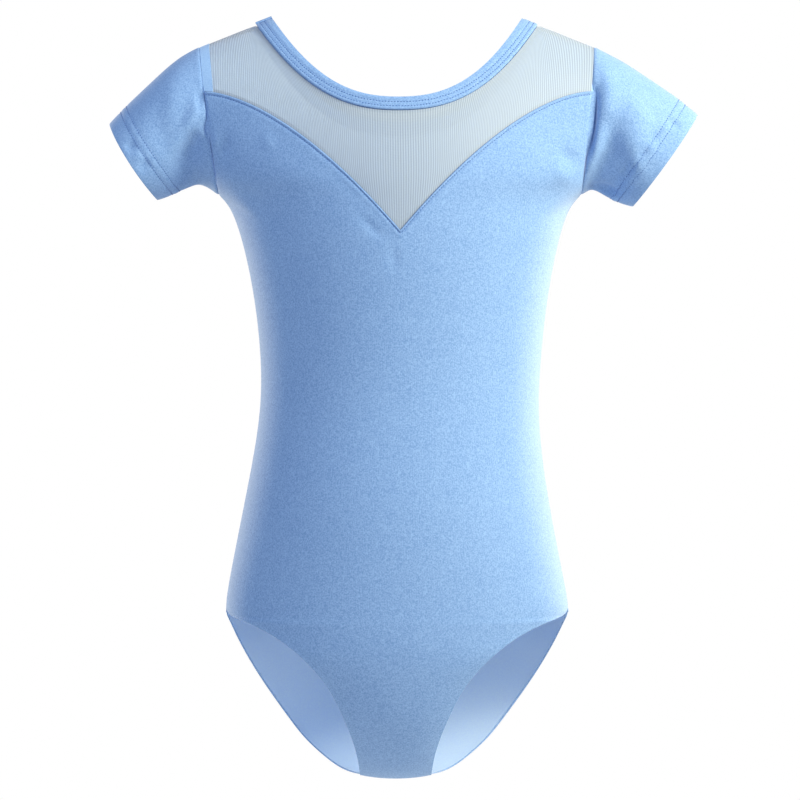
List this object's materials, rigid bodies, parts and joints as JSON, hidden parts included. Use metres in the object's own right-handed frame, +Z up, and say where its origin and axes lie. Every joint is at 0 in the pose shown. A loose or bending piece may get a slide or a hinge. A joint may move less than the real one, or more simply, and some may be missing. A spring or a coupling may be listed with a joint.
{
  "type": "short-sleeved dance leotard",
  "caption": "Short-sleeved child's dance leotard in stretch jersey with a net yoke, bound scoop neck and open legs, filled out as worn.",
  "frame": {"origin": "midway between the neck ends of the two shoulder seams, where the wearer's shoulders hold the garment up", "axes": "+X to the wearer's left, +Y to the wearer's back, +Z up along the body"},
  "size_m": [0.4118, 0.1622, 0.5332],
  "materials": {
    "jersey": "matt cotton and elastane jersey, light blue",
    "net": "fine see-through stretch net, grey-blue",
    "binding": "folded jersey band, light blue"
  },
  "bodies": {
    "root": {"body_front": "jersey", "body_back": "jersey", "yoke_front": "net", "sleeve_right": "jersey", "sleeve_left": "jersey", "neck_binding": "binding"}
  },
  "joints": []
}
